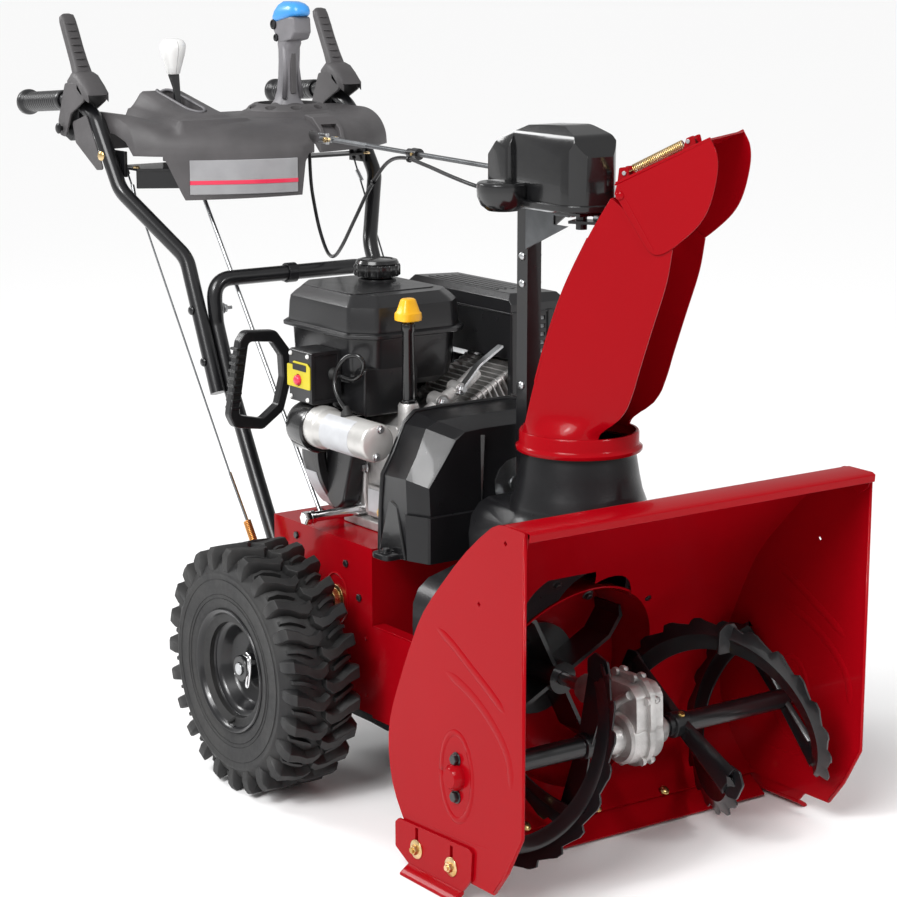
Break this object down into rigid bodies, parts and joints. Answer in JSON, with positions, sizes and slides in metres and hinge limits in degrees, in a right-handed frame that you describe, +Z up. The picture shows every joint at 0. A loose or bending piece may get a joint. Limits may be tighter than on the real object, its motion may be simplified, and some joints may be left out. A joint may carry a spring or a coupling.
{
  "type": "two stage snowblower",
  "caption": "Walk-behind two-stage snow thrower with an auger housing, impeller, turning chute, engine, driven wheels and handlebar controls.",
  "frame": {"origin": "middle of the bounding box on the ground, under the machine", "axes": "+Z up, -Y forward in the direction of travel, with the auger mouth at -Y and the grips at +Y; the right side, seen by the operator, is -X"},
  "size_m": [0.694, 1.524, 1.172],
  "materials": {
    "red_paint": "glossy powder coat",
    "black_paint": "glossy powder coat",
    "black_plastic": "satin moulded",
    "grey_plastic": "satin moulded",
    "white_plastic": "glossy moulded",
    "blue_plastic": "glossy moulded",
    "yellow_plastic": "glossy moulded",
    "red_plastic": "glossy moulded",
    "rubber": "soft matt",
    "tyre": "matt",
    "cast_aluminium": "as cast",
    "steel": "zinc plated",
    "gold_zinc": "yellow zinc plated",
    "bronze": "machined",
    "chrome": "bright"
  },
  "bodies": {
    "root": {"auger_housing": "red_paint", "scraper_bar": "red_paint", "skid_right": "red_paint", "skid_left": "red_paint", "gearcase": "cast_aluminium", "chute_base": "black_plastic", "chute_post": "black_paint", "gear_head_cover": "black_plastic", "traction_frame": "red_paint", "bottom_cover": "black_paint", "lower_handle": "black_paint", "upper_handle_right": "black_paint", "upper_handle_left": "black_paint", "grip_right": "rubber", "grip_left": "rubber", "console_panel": "grey_plastic", "deflector_cable": "black_plastic", "engine_block": "cast_aluminium", "auger_belt": "rubber", "traction_belt": "rubber", "belt_cover": "black_plastic", "fuel_tank": "black_plastic", "muffler_cover": "black_plastic", "recoil_housing": "black_plastic", "starter_motor": "cast_aluminium", "switch_box": "black_plastic", "starter_lead": "rubber"},
    "wheels": {"axle": "steel", "wheel_rim_right": "black_paint", "wheel_rim_left": "black_paint", "tyre_right": "tyre", "tyre_left": "tyre"},
    "hex_drive": {"hex_shaft": "steel"},
    "friction_drive": {"friction_wheel": "rubber"},
    "disc_drive": {"drive_disc": "cast_aluminium"},
    "crank": {"crank_pulley": "steel"},
    "impeller_unit": {"impeller_shaft": "steel", "impeller": "black_paint"},
    "augers": {"auger_shaft": "bronze", "auger_right": "black_paint", "auger_left": "black_paint"},
    "chute_unit": {"chute": "red_paint", "chute_spindle": "black_paint"},
    "deflector": {"chute_deflector": "red_paint", "deflector_spring": "gold_zinc"},
    "chute_rod": {"chute_rod": "steel"},
    "yoke": {"stick_yoke": "steel"},
    "stick": {"control_stick": "grey_plastic"},
    "trigger": {"stick_trigger": "blue_plastic"},
    "shift": {"speed_lever": "black_paint", "speed_knob": "white_plastic"},
    "shift_rod": {"speed_rod": "steel"},
    "lever_right": {"control_lever_right": "grey_plastic"},
    "lever_left": {"control_lever_left": "grey_plastic"},
    "wire_right": {"control_wire_right": "steel"},
    "wire_left": {"control_wire_left": "steel"},
    "pull_handle": {"starter_handle": "black_plastic"},
    "start_button": {"starter_button": "red_plastic"},
    "tank_cap": {"fuel_cap": "black_plastic"},
    "dipstick": {"oil_dipstick": "yellow_plastic"}
  },
  "joints": [
    {"name": "wheel_drive", "type": "hinge", "parent": "root", "child": "wheels", "pos_m": [0, -0.06, 0.1905], "axis": [1, 0, 0], "continuous": true},
    {"name": "hex_spin", "type": "hinge", "parent": "root", "child": "hex_drive", "pos_m": [0, -0.094, 0.285], "axis": [1, 0, 0], "continuous": true},
    {"name": "friction_slide", "type": "slide", "parent": "hex_drive", "child": "friction_drive", "axis": [1, 0, 0], "range_m": [-0.055, 0.055]},
    {"name": "disc_spin", "type": "hinge", "parent": "root", "child": "disc_drive", "pos_m": [0, -0.162, 0.285], "axis": [0, 1, 0], "continuous": true},
    {"name": "engine_spin", "type": "hinge", "parent": "root", "child": "crank", "pos_m": [0, -0.262, 0.487], "axis": [0, 1, 0], "continuous": true},
    {"name": "impeller_spin", "type": "hinge", "parent": "root", "child": "impeller_unit", "pos_m": [0, -0.406, 0.214], "axis": [0, 1, 0], "continuous": true},
    {"name": "auger_spin", "type": "hinge", "parent": "root", "child": "augers", "pos_m": [0, -0.604, 0.172], "axis": [1, 0, 0], "continuous": true},
    {"name": "chute_rotate", "type": "hinge", "parent": "root", "child": "chute_unit", "pos_m": [0, -0.474, 0.585], "axis": [0, 0, 1], "range_deg": [-120, 60]},
    {"name": "deflector_tilt", "type": "hinge", "parent": "chute_unit", "child": "deflector", "pos_m": [0.035, -0.5346, 0.948], "axis": [0.866, 0.5, 0], "range_deg": [0, 50]},
    {"name": "chute_rod_spin", "type": "hinge", "parent": "root", "child": "chute_rod", "pos_m": [0, -0.31, 0.95], "axis": [0.0755, 0.9971, 0.0067], "range_deg": [-125, 65]},
    {"name": "stick_side", "type": "hinge", "parent": "root", "child": "yoke", "pos_m": [0.088, 0.45, 0.958], "axis": [0, 1, 0], "range_deg": [-25, 13]},
    {"name": "stick_fore", "type": "hinge", "parent": "yoke", "child": "stick", "pos_m": [0.088, 0.45, 0.958], "axis": [1, 0, 0], "range_deg": [0, 20]},
    {"name": "trigger_press", "type": "hinge", "parent": "stick", "child": "trigger", "pos_m": [0.088, 0.476, 1.151], "axis": [1, 0, 0], "range_deg": [0, 3], "stiffness_Nm_per_rad": 2, "springref_deg": -5.73},
    {"name": "speed_shift", "type": "hinge", "parent": "root", "child": "shift", "pos_m": [-0.104, 0.49, 0.936], "axis": [1, 0, 0], "range_deg": [-25, 25]},
    {"name": "speed_rod_slide", "type": "slide", "parent": "root", "child": "shift_rod", "axis": [0.0064, -0.5908, -0.8068], "range_m": [-0.013, 0.013]},
    {"name": "lever_right_squeeze", "type": "hinge", "parent": "root", "child": "lever_right", "pos_m": [-0.25, 0.586, 0.964], "axis": [-1, 0, 0], "range_deg": [0, 40], "stiffness_Nm_per_rad": 0.6, "springref_deg": -28.65},
    {"name": "wire_right_pull", "type": "slide", "parent": "root", "child": "wire_right", "axis": [-0.0334, 0.5268, 0.8493], "range_m": [0, 0.017]},
    {"name": "lever_left_squeeze", "type": "hinge", "parent": "root", "child": "lever_left", "pos_m": [0.25, 0.586, 0.964], "axis": [-1, 0, 0], "range_deg": [0, 40], "stiffness_Nm_per_rad": 0.6, "springref_deg": -28.65},
    {"name": "wire_left_pull", "type": "slide", "parent": "root", "child": "wire_left", "axis": [0.0334, 0.5268, 0.8493], "range_m": [0, 0.017]},
    {"name": "starter_pull", "type": "slide", "parent": "root", "child": "pull_handle", "axis": [-0.9016, 0.4208, 0.1002], "range_m": [0, 0.5], "stiffness_N_per_m": 6, "springref_m": -0.3},
    {"name": "button_press", "type": "slide", "parent": "root", "child": "start_button", "axis": [1, 0, 0], "range_m": [0, 0.003], "stiffness_N_per_m": 250, "springref_m": -0.002},
    {"name": "fuel_cap_turn", "type": "hinge", "parent": "root", "child": "tank_cap", "pos_m": [-0.004, 0.038, 0.76], "axis": [0, 0, 1], "range_deg": [0, 120]},
    {"name": "dipstick_pull", "type": "slide", "parent": "root", "child": "dipstick", "axis": [0, 0, 1], "range_m": [0, 0.18]}
  ],
  "couplings": [
    {"joint": "hex_spin", "follows": "wheel_drive", "ratio": -3.5},
    {"joint": "friction_slide", "follows": "speed_shift", "m_per_rad": 0.12},
    {"joint": "auger_spin", "follows": "impeller_spin", "ratio": 0.1},
    {"joint": "chute_rod_spin", "follows": "chute_rotate", "ratio": 1},
    {"joint": "stick_side", "follows": "chute_rotate", "ratio": 0.2},
    {"joint": "stick_fore", "follows": "deflector_tilt", "ratio": 0.4},
    {"joint": "speed_rod_slide", "follows": "speed_shift", "m_per_rad": 0.0265},
    {"joint": "wire_right_pull", "follows": "lever_right_squeeze", "m_per_rad": 0.02},
    {"joint": "wire_left_pull", "follows": "lever_left_squeeze", "m_per_rad": 0.02}
  ]
}
